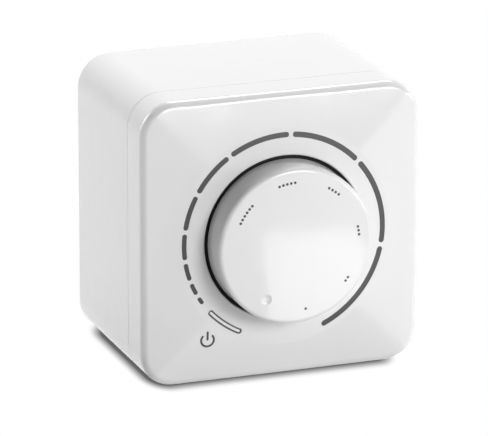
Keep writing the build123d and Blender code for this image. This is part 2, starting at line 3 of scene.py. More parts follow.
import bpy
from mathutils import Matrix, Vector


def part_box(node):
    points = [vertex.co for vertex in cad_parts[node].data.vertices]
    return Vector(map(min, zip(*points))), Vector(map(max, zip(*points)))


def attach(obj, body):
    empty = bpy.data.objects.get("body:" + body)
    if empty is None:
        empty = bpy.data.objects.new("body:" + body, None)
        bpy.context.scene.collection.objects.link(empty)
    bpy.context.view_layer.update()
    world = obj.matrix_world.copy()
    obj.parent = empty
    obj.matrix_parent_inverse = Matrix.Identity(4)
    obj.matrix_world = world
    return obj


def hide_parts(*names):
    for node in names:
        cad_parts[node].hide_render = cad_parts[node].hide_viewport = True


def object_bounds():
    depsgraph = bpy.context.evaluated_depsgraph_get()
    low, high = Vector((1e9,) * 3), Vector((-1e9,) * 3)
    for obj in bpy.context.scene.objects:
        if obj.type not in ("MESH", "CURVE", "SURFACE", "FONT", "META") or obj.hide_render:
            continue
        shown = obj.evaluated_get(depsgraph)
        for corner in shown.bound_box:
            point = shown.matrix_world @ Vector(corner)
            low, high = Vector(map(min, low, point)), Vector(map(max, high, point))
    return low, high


bl_info = {
    "name": "Rotary speed controller",
    "version": (1, 0, 0),
    "blender": (4, 5, 0),
    "location": "View3D > Sidebar > Controller",
    "description": "Finishes, prints and studio for a surface-mounted rotary speed controller",
    "category": "Object",
}

from math import pi, radians, tau

import bmesh
import bpy
import numpy as np
from bpy.props import FloatProperty, FloatVectorProperty, IntProperty, PointerProperty
from mathutils import Matrix, Vector

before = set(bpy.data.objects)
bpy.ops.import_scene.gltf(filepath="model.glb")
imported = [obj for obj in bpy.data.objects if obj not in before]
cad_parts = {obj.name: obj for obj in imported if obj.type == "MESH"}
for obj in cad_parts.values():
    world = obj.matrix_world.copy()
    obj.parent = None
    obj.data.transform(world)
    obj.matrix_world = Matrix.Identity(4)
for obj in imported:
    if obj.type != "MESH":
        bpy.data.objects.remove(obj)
cad_low, cad_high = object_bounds()
photo_width = 488
sensor_width = 36.0
lamp_distance = 1.15
pure_white = (1.0, 1.0, 1.0, 1.0)


# Values a user would change


class HousingSettings(bpy.types.PropertyGroup):
    """The white plastic of the box, the cover and the knob."""

    shell_colour: FloatVectorProperty(
        name="Shell colour", description="Colour of the box and the cover", subtype="COLOR",
        default=(0.8, 0.8, 0.8))
    knob_colour: FloatVectorProperty(
        name="Knob colour", description="Colour of the knob", subtype="COLOR", default=(0.8, 0.8, 0.8))
    shine: FloatProperty(
        name="Roughness", description="Mean roughness of the moulded plastic",
        default=0.12, min=0.0, max=1.0)


class PrintSettings(bpy.types.PropertyGroup):
    """The ink of the scale, the knob's dots, the power sign and the line round the off mark."""

    ink_colour: FloatVectorProperty(
        name="Ink colour", description="Colour of the scale, dots and sign", subtype="COLOR",
        default=(0.05, 0.05, 0.052))
    dot_radius: FloatProperty(
        name="Dot radius", description="Radius of one dot on the knob", default=0.0004, unit="LENGTH")
    dot_circle: FloatProperty(
        name="Dot circle", description="Distance of the dots from the knob's axis",
        default=0.0185, unit="LENGTH")
    dot_pitch: FloatProperty(
        name="Dot pitch", description="Angle from dot to dot in a group",
        default=radians(3.6), subtype="ANGLE")
    dot_groups: IntProperty(
        name="Dot groups", description="Groups of dots, the first with as many dots as there are groups",
        default=6)
    first_group: FloatProperty(
        name="First group", description="Angle of the first group from the right",
        default=radians(144), subtype="ANGLE")
    group_step: FloatProperty(
        name="Group step", description="Angle from group to group, clockwise",
        default=radians(45.1), subtype="ANGLE")
    sign_across: FloatProperty(
        name="Sign across", description="Place of the power sign along X", default=-0.02233, unit="LENGTH")
    sign_up: FloatProperty(
        name="Sign up", description="Place of the power sign along Z", default=-0.02812, unit="LENGTH")
    sign_radius: FloatProperty(
        name="Sign radius", description="Radius of the power sign's ring", default=0.00185, unit="LENGTH")
    sign_stroke: FloatProperty(
        name="Sign stroke", description="Width of the power sign's lines", default=0.00062, unit="LENGTH")
    sign_gap: FloatProperty(
        name="Sign gap", description="Opening of the ring at its top",
        default=radians(80), subtype="ANGLE")
    outline_width: FloatProperty(
        name="Outline width", description="Width of the line round the off mark",
        default=0.00052, unit="LENGTH")
    lift: FloatProperty(
        name="Ink lift", description="Height of the ink over the plastic", default=0.00003, unit="LENGTH")


class InsideSettings(bpy.types.PropertyGroup):
    """What is under the cover."""

    thread_pitch: FloatProperty(
        name="Thread pitch", description="Pitch of the bush's thread", default=0.00075, unit="LENGTH")
    thread_depth: FloatProperty(
        name="Thread depth", description="Depth of the bush's thread", default=0.0003, unit="LENGTH")
    solder_radius: FloatProperty(
        name="Solder radius", description="Radius of a solder joint on the board",
        default=0.0011, unit="LENGTH")
    solder_height: FloatProperty(
        name="Solder height", description="Height of a solder joint on its lead",
        default=0.0008, unit="LENGTH")
    wire_radius: FloatProperty(
        name="Fuse wire radius", description="Radius of the wire in the fuse",
        default=0.00012, unit="LENGTH")


class StudioSettings(bpy.types.PropertyGroup):
    """Camera, lamps and floor."""

    yaw: FloatProperty(
        name="Yaw", description="Angle of the camera to the left of the front", subtype="ANGLE",
        default=radians(20.176))
    pitch: FloatProperty(
        name="Pitch", description="Angle of the camera above the horizon", subtype="ANGLE",
        default=radians(17.396))
    roll: FloatProperty(
        name="Roll", description="Turn of the camera about its own axis",
        default=radians(0.09), subtype="ANGLE")
    distance: FloatProperty(
        name="Distance", description="From the camera to the aimed point", default=1.43296, unit="LENGTH")
    focal_pixels: FloatProperty(
        name="Focal length", description="Focal length in pixels of the picture", default=4947.28)
    aim: FloatVectorProperty(
        name="Aim", description="Point in the middle of the picture", unit="LENGTH",
        default=(0.009522, 0.0, -0.012798))
    ambient: FloatProperty(
        name="Ambient", description="Even light from all round", default=0.02, min=0.0)
    key_level: FloatProperty(
        name="Key level", description="Brightness of the softbox over the front", default=12.9, min=0.0)
    low_level: FloatProperty(
        name="Low level", description="Brightness of the low softbox at the front right",
        default=5.0, min=0.0)
    right_level: FloatProperty(
        name="Right level", description="Brightness of the low softbox at the right", default=6.2, min=0.0)
    left_level: FloatProperty(
        name="Left level", description="Brightness of the low softbox at the back left",
        default=3.2, min=0.0)
    back_left_level: FloatProperty(
        name="Back left level", description="Brightness of the higher softbox at the back left",
        default=7.6, min=0.0)
    back_right_level: FloatProperty(
        name="Back right level", description="Brightness of the softbox at the back right",
        default=14.6, min=0.0)
    front_level: FloatProperty(
        name="Front level", description="Brightness of the low light at the front", default=2.7, min=0.0)
    card_level: FloatProperty(
        name="Card level", description="Brightness of the card that the knob mirrors",
        default=4.0, min=0.0)
    # The floor's shadow is painted into its colour; these two set its reach.
    shadow_side: FloatProperty(
        name="Shadow at the sides", description="Reach of the floor's shadow beside the object",
        default=0.0034, unit="LENGTH")
    shadow_front: FloatProperty(
        name="Shadow in front", description="Reach of the floor's shadow before and behind the object",
        default=0.0066, unit="LENGTH")


# Node trees written as expressions


class Socket:
    """An output of a node. Arithmetic on it adds Math nodes, and node() adds any other node to its tree."""

    def __init__(self, tree, output=None):
        self.tree = tree
        self.output = output

    def node(self, kind, settings=None, sockets=None, output=0):
        """Adds a node, makes its settings, fills its sockets by name or place, and returns one output."""
        made = self.tree.nodes.new(kind)
        for name, setting in (settings or {}).items():
            if name == "stops":
                ramp = made.color_ramp.elements
                while len(ramp) < len(setting):
                    ramp.new(1.0)
                for element, (place, colour) in zip(ramp, setting):
                    element.position = place
                    element.color = (*colour, 1.0)
            else:
                setattr(made, name, setting)
        for name, value in (sockets or {}).items():
            if isinstance(value, Socket):
                self.tree.links.new(value.output, made.inputs[name])
            else:
                made.inputs[name].default_value = value
        return Socket(self.tree, made.outputs[output]) if len(made.outputs) else None

    def maths(self, operation, *values):
        return self.node("ShaderNodeMath", {"operation": operation}, dict(enumerate(values)))

    def __add__(self, other):
        return self.maths("ADD", self, other)

    __radd__ = __add__

    def __sub__(self, other):
        return self.maths("SUBTRACT", self, other)

    def __rsub__(self, other):
        return self.maths("SUBTRACT", other, self)

    def __mul__(self, other):
        return self.maths("MULTIPLY", self, other)

    __rmul__ = __mul__

    def __truediv__(self, other):
        return self.maths("DIVIDE", self, other)

    def __rtruediv__(self, other):
        return self.maths("DIVIDE", other, self)

    def __pow__(self, other):
        return self.maths("POWER", self, other)

    def __abs__(self):
        return self.maths("ABSOLUTE", self)

    def above(self, level):
        return self.maths("GREATER_THAN", self, level)

    def most(self, other):
        return self.maths("MAXIMUM", self, other)

    def within(self):
        """The value kept from 0 to 1."""
        return self.maths("MINIMUM", self.most(0.0), 1.0)

    def mixed(self, first, second):
        """The colour between two others, with this value as the share of the second."""
        return self.node("ShaderNodeMix", {"data_type": "RGBA"}, {0: self, 6: first, 7: second}, 2)


def opaque(colour):
    """A colour with full alpha."""
    return (*colour, 1.0)


def scaled(colour, share):
    """A colour made darker or lighter."""
    return tuple(min(1.0, channel * share) for channel in colour)


def places(tree):
    """The Object coordinates of a piece, in metres."""
    return Socket(tree).node("ShaderNodeTexCoord", output="Object")


def noise(where, scale, detail=2.0):
    """A cloud pattern from 0 to 1, with features of about one over its scale in metres."""
    return where.node("ShaderNodeTexNoise", None, {"Vector": where, "Scale": scale, "Detail": detail}, "Fac")


def stretched(where, stretch):
    """The coordinates with each axis multiplied, so that a pattern is drawn out along the small ones."""
    return where.node("ShaderNodeVectorMath", {"operation": "MULTIPLY"}, {0: where, 1: stretch})


def along(where, axis):
    """One coordinate of a place."""
    return where.node("ShaderNodeSeparateXYZ", None, {0: where}, axis)


def material(name, colour, roughness, normal=None, metallic=0.0, **constants):
    """A principled material. Colour, roughness and normal are sockets, the rest are constants."""
    made = bpy.data.materials.get(name)
    surface = Socket(made.node_tree)
    shader = next(node for node in made.node_tree.nodes if node.type == "BSDF_PRINCIPLED")
    shader.inputs["Metallic"].default_value = metallic
    for socket, value in constants.items():
        shader.inputs[socket.replace("_", " ").title()].default_value = value
    links = {"Base Color": colour, "Roughness": roughness, "Normal": normal}
    for socket, value in links.items():
        if isinstance(value, Socket):
            surface.tree.links.new(value.output, shader.inputs[socket])
    return made


def blank(name):
    """Makes a material with its node tree, and gives the Object coordinates in it."""
    made = bpy.data.materials.new(name)
    made.use_nodes = True
    return places(made.node_tree)


def bump(height, strength, distance, over=None):
    """The normal of a relief, on the bare surface or over another relief's normal."""
    sockets = {"Strength": strength, "Distance": distance, "Height": height}
    if over is not None:
        sockets["Normal"] = over
    return height.node("ShaderNodeBump", None, sockets)


# Finishes


def tones(pattern, colour, darker, lighter):
    """A colour that goes from a darker to a lighter share of itself with a pattern."""
    return pattern.mixed(opaque(scaled(colour, darker)), opaque(scaled(colour, lighter)))


def moulded_plastic(name, colour, roughness, wave=0.15, relief=None):
    """Moulded plastic: faint clouds in colour and shine, and a moulded face's waviness, over a relief."""
    where = blank(name)
    clouds = noise(where, scale=55.0, detail=3.0)
    fine = noise(where, scale=2400.0)
    slow = noise(where, scale=120.0, detail=1.0)
    shade = tones(clouds, colour, 0.985, 1.015)
    shine = roughness + 0.05 * (clouds - 0.5) + 0.02 * (fine - 0.5)
    under = relief(where) if relief else None
    normal = bump(slow + 0.04 * fine, strength=wave, distance=0.0004, over=under)
    return material(name, shade, shine, normal)


def flat_facets(where):
    """The normals of four flat facets on the cover's crown. From the edge, at e from the middle, to the
    dial, of radius R, the crown rises by d over e - R at the middle of a side and over more towards the
    hips, so its height is d (e - u) / (e - R u / r) at the distance u across and r in all. A plane's height
    less this is added, with the larger distance across rounded off within a soft width at the hips. It
    fades out at the dial and behind the face."""
    edge, dial, rise, soft = cad_high.x, 0.0315, 0.00202, 0.0015
    face, fade = -0.0552, 0.0004
    y = along(where, "Y")
    aside = abs(along(where, "X"))
    above = abs(along(where, "Z"))
    apart = aside - above
    across = 0.5 * (aside + above + (apart * apart + soft * soft) ** 0.5)
    radius = (aside * aside + above * above) ** 0.5
    missing = (edge - across) * (rise / (edge - dial) - rise / (edge - dial * across / radius))
    front = ((face - y) / fade).within()
    outside = ((radius - dial) / fade).within()
    return bump(missing, strength=front * outside, distance=1.0)


def brushed_metal(name, colour, roughness, stretch):
    """Rolled or plated metal with fine lines drawn out along one axis."""
    where = blank(name)
    lines = noise(stretched(where, stretch), scale=1800.0, detail=4.0)
    clouds = noise(where, scale=160.0, detail=3.0)
    shade = tones(0.5 * lines + 0.5 * clouds, colour, 0.88, 1.08)
    shine = roughness + 0.16 * (lines - 0.5) + 0.08 * (clouds - 0.5)
    return material(name, shade, shine, bump(lines, strength=0.12, distance=0.0001), metallic=1.0)


def turned_metal(name, colour, roughness):
    """Turned metal: rings of tool marks about the Y axis, on clouds of tarnish."""
    where = blank(name)
    flat = stretched(where, (1.0, 0.0, 1.0))
    radius = flat.node("ShaderNodeVectorMath", {"operation": "LENGTH"}, {0: flat}, "Value")
    marks = radius.maths("SINE", 52000.0 * radius)
    clouds = noise(where, scale=260.0, detail=3.0)
    shade = tones(clouds, colour, 0.86, 1.08)
    shine = roughness + 0.05 * marks + 0.1 * (clouds - 0.5)
    return material(name, shade, shine, bump(marks, strength=0.05, distance=0.00005), metallic=1.0)


def ink(name, colour, roughness):
    """Ink or inlay: a dense colour with a faint grain."""
    grain = noise(blank(name), scale=1500.0, detail=3.0)
    shade = tones(grain, colour, 0.85, 1.15)
    shine = roughness + 0.12 * (grain - 0.5)
    return material(name, shade, shine, bump(grain, strength=0.08, distance=0.00005))


def pressed_powder(name, colour, roughness, grain_scale):
    """Pressed, fibrous or rubbery stuff with a visible grain."""
    where = blank(name)
    grain = noise(where, scale=grain_scale, detail=4.0)
    clouds = noise(where, scale=140.0)
    shade = tones(0.6 * grain + 0.4 * clouds, colour, 0.78, 1.16)
    shine = roughness + 0.15 * (grain - 0.5)
    return material(name, shade, shine, bump(grain, strength=0.3, distance=0.00012))


def board_laminate(name):
    """Solder resist over copper: broad cells are copper lands, in a lighter green, over a faint weave."""
    where = blank(name)
    edges = {"feature": "DISTANCE_TO_EDGE"}
    cells = where.node("ShaderNodeTexVoronoi", edges, {"Vector": where, "Scale": 130.0})
    lands = cells.above(0.09)
    weave = noise(stretched(where, (1.0, 1.0, 6.0)), scale=900.0)
    resist = lands.mixed(opaque((0.012, 0.07, 0.025)), opaque((0.02, 0.13, 0.045)))
    shade = (0.25 * weave).mixed(resist, opaque((0.03, 0.16, 0.07)))
    shine = 0.34 + 0.1 * (weave - 0.5)
    return material(name, shade, shine, bump(lands + 0.1 * weave, strength=0.2, distance=0.00006))


def banded_lacquer(name, colour, bands, width, roughness):
    """Lacquer on parts that lie along X, with rings of colour at given places along X."""
    where = blank(name)
    x = along(where, "X")
    clouds = noise(where, scale=900.0)
    shade = tones(clouds, colour, 0.92, 1.08)
    for place, tint in bands:
        ring = 1.0 - abs(x - place).above(width / 2)
        shade = ring.mixed(shade, opaque(tint))
    shine = roughness + 0.08 * (clouds - 0.5)
    return material(name, shade, shine, bump(clouds, strength=0.1, distance=0.0001))


def clear_glass(name):
    """Thin clear glass with a faint unevenness."""
    clouds = noise(blank(name), scale=300.0)
    shade = clouds.mixed(opaque((0.93, 0.96, 0.95)), opaque((0.97, 0.98, 0.98)))
    return material(name, shade, 0.02 + 0.03 * clouds, transmission_weight=1.0)


def coat(finish, *nodes):
    """Gives CAD nodes a finish in place of the one that they came with."""
    for node in nodes:
        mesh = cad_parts[node].data
        mesh.materials.clear()
        mesh.materials.append(finish)


# Surfaces worked out as arrays


def node_triangles(node):
    """The corners of a CAD node's triangles."""
    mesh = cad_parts[node].data
    mesh.calc_loop_triangles()
    corners = np.empty(len(mesh.loop_triangles) * 3, np.int32)
    mesh.loop_triangles.foreach_get("vertices", corners)
    points = np.empty(len(mesh.vertices) * 3, np.float32)
    mesh.vertices.foreach_get("co", points)
    return points.reshape(-1, 3).astype(float)[corners].reshape(-1, 3, 3)


def front_of(triangles, x, z):
    """The y of the surface that faces the front at each (x, z): of the triangles that the point falls in,
    seen along Y, each gives a + u ab + v ac from its barycentric u and v, and the smallest y counts."""
    low = triangles.min(axis=1)
    high = triangles.max(axis=1)
    beside = (high[:, 0] >= x.min()) & (low[:, 0] <= x.max())
    near = beside & (high[:, 2] >= z.min()) & (low[:, 2] <= z.max())
    first, second, third = np.moveaxis(triangles[near], 1, 0)
    ab = second - first
    ac = third - first
    area = ab[:, 0] * ac[:, 2] - ab[:, 2] * ac[:, 0]
    thinnest, margin = 1e-15, 1e-6
    area = np.where(np.abs(area) < thinnest, np.nan, area)
    dx = x.reshape(-1, 1) - first[:, 0]
    dz = z.reshape(-1, 1) - first[:, 2]
    u = (dx * ac[:, 2] - dz * ac[:, 0]) / area
    v = (dz * ab[:, 0] - dx * ab[:, 2]) / area
    inside = (u >= -margin) & (v >= -margin) & (u + v <= 1 + margin)
    y = np.where(inside, first[:, 1] + u * ab[:, 1] + v * ac[:, 1], np.inf)
    return y.min(axis=1).reshape(x.shape)


def grid_faces(rows, columns, first=0):
    """Quads of a grid that is closed along its columns, with each row joined to the next."""
    row, column = np.meshgrid(np.arange(rows - 1), np.arange(columns), indexing="ij")
    beside = (column + 1) % columns
    here = row * columns
    after = here + columns
    quads = [here + column, here + beside, after + beside, after + column]
    return np.stack(quads, axis=-1).reshape(-1, 4) + first


def piece(name, points, faces, finish, body):
    """A smooth mesh of the given points and quads, merged at its poles, that rides on a body."""
    mesh = bpy.data.meshes.new(name)
    mesh.from_pydata(points.reshape(-1, 3).tolist(), [], faces.tolist())
    mesh.polygons.foreach_set("use_smooth", np.ones(len(mesh.polygons), bool))
    mesh.materials.append(finish)
    obj = bpy.data.objects.new(name, mesh)
    bpy.context.scene.collection.objects.link(obj)
    close_poles(mesh)
    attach(obj, body)
    return obj


def close_poles(mesh):
    """Merges the rows of points that meet in one place and turns the faces outwards."""
    work = bmesh.new()
    work.from_mesh(mesh)
    bmesh.ops.remove_doubles(work, verts=work.verts, dist=1e-8)
    bmesh.ops.recalc_face_normals(work, faces=work.faces)
    work.to_mesh(mesh)
    work.free()


def stroke(triangles, x, z, width, lift, around=12):
    """A line of ink with round ends, laid on a surface: an ellipse of half width w and height lift goes
    along the path, w shrinks as a half circle over the two ends, and each point stands at the surface's
    y - lift sin t."""
    step_x = np.gradient(x)
    step_z = np.gradient(z)
    length = np.hypot(step_x, step_z)
    way = np.concatenate([[0.0], np.cumsum(np.hypot(np.diff(x), np.diff(z)))])
    half = width / 2
    to_end = np.clip(np.minimum(way, way[-1] - way) / half, 0.0, 1.0)
    swell = np.sqrt(np.clip(1 - (1 - to_end) ** 2, 0.0, 1.0))[:, None]
    t = np.linspace(0, tau, around, endpoint=False)
    px = x[:, None] + half * swell * np.cos(t) * (step_z / length)[:, None]
    pz = z[:, None] - half * swell * np.cos(t) * (step_x / length)[:, None]
    y = front_of(triangles, px, pz) - lift * swell * np.sin(t)
    return np.stack([px, y, pz], axis=-1)


def lead_ends(node):
    """The middles of a node's lead tips: the points nearest the wall, in groups a millimetre wide."""
    tip, width = 0.00001, 0.001
    points = node_triangles(node).reshape(-1, 3)
    tips = points[points[:, 1] > points[:, 1].max() - tip]
    near = np.hypot(*(tips[:, None, [0, 2]] - tips[None, :, [0, 2]]).transpose(2, 0, 1)) < width
    group = near.argmax(axis=1)
    return np.stack([tips[group == label].mean(axis=0) for label in np.unique(group)])


# Operators


class DressHousing(bpy.types.Operator):
    """Glossy white plastic on the box, the cover and the knob, and black foam under the knob, which paints
    the shade deep in the gap round it
    """

    bl_idname = "controller.dress_housing"
    bl_label = "Dress housing and knob"

    def execute(self, context):
        settings = context.scene.controller_housing
        shell = moulded_plastic("white_shell", settings.shell_colour, settings.shine, relief=flat_facets)
        turning = moulded_plastic("white_knob", settings.knob_colour, settings.shine)
        coat(shell, "back_box", "front_cover")
        coat(turning, "knob")
        # The black foam ring is a dark part under the knob, and its black stands in for the shade deep in
        # the gap round the knob.
        coat(pressed_powder("black_foam_and_gap_shade", (0.008, 0.008, 0.0085), 0.9, 1600.0), "dust_ring")
        return {"FINISHED"}


class InkScale(bpy.types.Operator):
    """Dark ink in the scale's bars and the off mark's rim, white in the off mark"""

    bl_idname = "controller.ink_scale"
    bl_label = "Ink scale"

    def execute(self, context):
        settings = context.scene.controller_print
        dark = ink("scale_ink", settings.ink_colour, 0.42)
        white = ink("off_white", (0.82, 0.82, 0.82), 0.35)
        coat(dark, "scale_marks", "off_mark_rim")
        coat(white, "off_mark")
        return {"FINISHED"}


class PrintDots(bpy.types.Operator):
    """Groups of six to one dots round the knob's face"""

    bl_idname = "controller.print_dots"
    bl_label = "Print dots"

    def execute(self, context):
        settings = context.scene.controller_print
        triangles = node_triangles("knob")
        around = np.linspace(0, tau, 16, endpoint=False)
        tilt, turn = np.meshgrid(np.linspace(0, pi, 7), around, indexing="ij")
        spread = settings.dot_radius * np.sin(tilt)
        rise = settings.lift * np.cos(tilt)
        dots = []
        for group in range(settings.dot_groups):
            count = settings.dot_groups - group
            middle = settings.first_group - group * settings.group_step
            for place in range(count):
                angle = middle + (place - (count - 1) / 2) * settings.dot_pitch
                x = settings.dot_circle * np.cos(angle) + spread * np.cos(turn)
                z = settings.dot_circle * np.sin(angle) + spread * np.sin(turn)
                dots.append(np.stack([x, front_of(triangles, x, z) - rise, z], axis=-1))
        points = np.stack(dots)
        rows, columns = tilt.shape
        size = rows * columns
        faces = np.concatenate([grid_faces(rows, columns, dot * size) for dot in range(len(dots))])
        finish = ink("dot_ink", settings.ink_colour, 0.4)
        piece("knob_dots", points, faces, finish, "knob")
        return {"FINISHED"}


class PrintPowerSign(bpy.types.Operator):
    """The usual sign for power: a ring open at its top, with a bar in the opening"""

    bl_idname = "controller.print_power_sign"
    bl_label = "Print power sign"

    def execute(self, context):
        settings = context.scene.controller_print
        triangles = node_triangles("front_cover")
        turn = np.linspace(settings.sign_gap / 2, tau - settings.sign_gap / 2, 96) + pi / 2
        ring_x = settings.sign_across + settings.sign_radius * np.cos(turn)
        ring_z = settings.sign_up + settings.sign_radius * np.sin(turn)
        bar_low, bar_high = -0.05 * settings.sign_radius, 1.45 * settings.sign_radius
        bar_z = settings.sign_up + np.linspace(bar_low, bar_high, 40)
        bar_x = np.full_like(bar_z, settings.sign_across)
        ring = stroke(triangles, ring_x, ring_z, settings.sign_stroke, settings.lift)
        bar = stroke(triangles, bar_x, bar_z, settings.sign_stroke, settings.lift)
        points = np.concatenate([ring.reshape(-1, 3), bar.reshape(-1, 3)])
        faces = np.concatenate([grid_faces(*ring.shape[:2]), grid_faces(*bar.shape[:2], ring[..., 0].size)])
        finish = ink("sign_ink", settings.ink_colour, 0.4)
        piece("power_sign", points, faces, finish, "housing")
        return {"FINISHED"}


class OutlineOffMark(bpy.types.Operator):
    """A dark line round the off mark, over its rim"""

    bl_idname = "controller.outline_off_mark"
    bl_label = "Outline off mark"

    def execute(self, context):
        settings = context.scene.controller_print
        rim = node_triangles("off_mark_rim")
        x, _, z = rim.reshape(-1, 3).T
        radius = np.hypot(x, z)
        angle = np.arctan2(z, x)
        middle = (radius.min() + radius.max()) / 2
        half = (radius.max() - radius.min()) / 2
        first = angle.min() + half / middle
        last = angle.max() - half / middle
        # In complex numbers, x + iz: two arcs at middle + out and middle - out, joined by half circles of
        # radius out, and the start again so that the line's ends overlap.
        out = half - settings.outline_width / 4
        way = np.linspace(first, last, 60)
        cap = np.exp(1j * np.linspace(0, pi, 16)[1:-1])
        outer = (middle + out) * np.exp(1j * way)
        inner = (middle - out) * np.exp(1j * way[::-1])
        end = np.exp(1j * last) * (middle + out * cap)
        start = np.exp(1j * first) * (middle - out * cap)
        loop = np.concatenate([outer, end, inner, start, outer[:6]])
        ground = np.concatenate([node_triangles("front_cover"), rim, node_triangles("off_mark")])
        points = stroke(ground, loop.real, loop.imag, settings.outline_width, settings.lift)
        finish = ink("outline_ink", settings.ink_colour, 0.4)
        piece("off_outline", points, grid_faces(*points.shape[:2]), finish, "housing")
        return {"FINISHED"}


class DressMechanism(bpy.types.Operator):
    """Metals and hard plastics of the potentiometer, the plate and the screws"""

    bl_idname = "controller.dress_mechanism"
    bl_label = "Dress mechanism"

    def execute(self, context):
        coat(brushed_metal("spring_steel", (0.5, 0.51, 0.53), 0.3, (1.0, 0.05, 1.0)),
             "knob_spring", "shaft_clip", "fuse_clips")
        coat(turned_metal("shaft_aluminium", (0.72, 0.72, 0.73), 0.32), "pot_shaft")
        coat(moulded_plastic("phenolic_black", (0.02, 0.02, 0.022), 0.48, 0.3), "pot_body", "pot_switch")
        coat(brushed_metal("tinned_wire", (0.68, 0.68, 0.69), 0.3, (1.0, 0.1, 1.0)),
             "pot_pins", "triac_leads")
        coat(turned_metal("bush_brass", (0.62, 0.45, 0.2), 0.28), "pot_bush", "pot_nut", "cover_nut")
        coat(pressed_powder("red_fibre", (0.24, 0.045, 0.03), 0.75, 2600.0), "pot_washer", "cover_washer")
        coat(brushed_metal("plate_aluminium", (0.74, 0.75, 0.76), 0.36, (0.03, 1.0, 1.0)),
             "mounting_plate", "triac_tab")
        coat(turned_metal("zinc_steel", (0.62, 0.64, 0.66), 0.34),
             "plate_screws", "spacer_screws", "triac_screw", "triac_nut", "terminal_screws")
        coat(turned_metal("spacer_nickel", (0.68, 0.62, 0.5), 0.3), "board_spacers")
        return {"FINISHED"}


class DressBoard(bpy.types.Operator):
    """The circuit board and the parts on it"""

    bl_idname = "controller.dress_board"
    bl_label = "Dress board"

    def execute(self, context):
        low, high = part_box("resistors")
        resistor = (low.x + high.x) / 2
        low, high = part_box("diac")
        diac = (low.x + high.x) / 2
        band = 0.0007
        bands = [(resistor - 0.0024, (0.1, 0.03, 0.01)), (resistor - 0.001, (0.01, 0.01, 0.01)),
                 (resistor + 0.0002, (0.55, 0.2, 0.01)), (resistor + 0.0024, (0.45, 0.33, 0.08))]
        coat(board_laminate("green_board"), "circuit_board")
        coat(pressed_powder("core_yellow", (0.56, 0.42, 0.03), 0.6, 2200.0), "choke_core")
        coat(brushed_metal("enamelled_copper", (0.6, 0.22, 0.08), 0.24, (0.2, 1.0, 0.2)), "choke_winding")
        coat(pressed_powder("pad_grey", (0.3, 0.32, 0.35), 0.8, 1800.0), "triac_pad")
        coat(moulded_plastic("epoxy_black", (0.018, 0.018, 0.02), 0.5, 0.4), "triac_body")
        coat(moulded_plastic("film_yellow", (0.66, 0.4, 0.02), 0.35), "suppression_capacitor")
        coat(moulded_plastic("timing_red", (0.3, 0.02, 0.012), 0.35), "timing_capacitor")
        coat(banded_lacquer("diac_blue", (0.015, 0.05, 0.24), [(diac, (0.02, 0.02, 0.025))], band, 0.25),
             "diac")
        coat(banded_lacquer("resistor_tan", (0.42, 0.27, 0.12), bands, band, 0.4), "resistors")
        coat(clear_glass("fuse_glass"), "fuse_tube")
        coat(brushed_metal("cap_nickel", (0.7, 0.68, 0.64), 0.22, (0.1, 1.0, 1.0)), "fuse_caps")
        coat(moulded_plastic("trimmer_blue", (0.012, 0.05, 0.3), 0.4), "trimmer_base")
        coat(moulded_plastic("trimmer_white", (0.7, 0.7, 0.68), 0.45), "trimmer_rotor")
        coat(moulded_plastic("terminal_green", (0.012, 0.16, 0.06), 0.42), "terminal_block")
        coat(brushed_metal("clamp_brass", (0.64, 0.5, 0.24), 0.34, (1.0, 0.1, 1.0)), "terminal_clamps")
        return {"FINISHED"}


class SolderLeads(bpy.types.Operator):
    """A solder joint round each lead on the board's back"""

    bl_idname = "controller.solder_leads"
    bl_label = "Solder leads"

    def execute(self, context):
        settings = context.scene.controller_inside
        soldered = ("pot_pins", "triac_leads", "trimmer_base", "fuse_clips", "choke_winding",
                    "suppression_capacitor", "timing_capacitor", "diac", "resistors")
        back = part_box("circuit_board")[1].y
        ends = np.concatenate([lead_ends(node) for node in soldered])
        lead = 0.0004
        # A joint's radius falls from the pad to the lead as the square of what is left of its height.
        share = np.linspace(0, 1, 7)
        radius = np.concatenate([[0.0], lead + (settings.solder_radius - lead) * (1 - share) ** 2, [0.0]])
        height = np.concatenate([[0.0], share, [1.0]]) * settings.solder_height
        turn = np.linspace(0, tau, 14, endpoint=False)
        x = ends[:, 0, None, None] + radius[:, None] * np.cos(turn)
        z = ends[:, 2, None, None] + radius[:, None] * np.sin(turn)
        y = np.broadcast_to(back + height[:, None], x.shape)
        points = np.stack([x, y, z], axis=-1)
        rows, columns = points.shape[1:3]
        size = rows * columns
        faces = np.concatenate([grid_faces(rows, columns, joint * size) for joint in range(len(ends))])
        finish = turned_metal("solder", (0.66, 0.67, 0.69), 0.26)
        piece("solder_joints", points, faces, finish, "housing")
        return {"FINISHED"}


class CutThread(bpy.types.Operator):
    """The bush with its thread, in place of the plain one"""

    bl_idname = "controller.cut_thread"
    bl_label = "Cut thread"

    def execute(self, context):
        settings = context.scene.controller_inside
        low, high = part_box("pot_bush")
        outer = high.x
        clearance = 0.00005
        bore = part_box("pot_shaft")[1].x + clearance
        front, back = low.y, high.y
        # The outer radius dips by half a cosine of the turn plus the way along the bush over the pitch.
        rows_per_turn = 10
        turns = int((back - front) / settings.thread_pitch)
        way = np.linspace(front, back, turns * rows_per_turn)
        turn = np.linspace(0, tau, 72, endpoint=False)
        fade = np.clip(np.minimum(way - front, back - way) / settings.thread_pitch, 0, 1)[:, None]
        wave = 0.5 - 0.5 * np.cos(tau * way[:, None] / settings.thread_pitch + turn)
        radius = outer - settings.thread_depth * (1 - fade + fade * wave)
        inner = np.full((1, len(turn)), bore)
        section = np.concatenate([inner, radius, inner, inner])
        depth = np.concatenate([[front], way, [back, front]])[:, None]
        y = np.broadcast_to(depth, section.shape)
        points = np.stack([section * np.cos(turn), y, section * np.sin(turn)], axis=-1)
        faces = grid_faces(*section.shape)
        brass = bpy.data.materials["bush_brass"]
        bush = piece("threaded_bush", points, faces, brass, "housing")
        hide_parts("pot_bush")
        return {"FINISHED"}


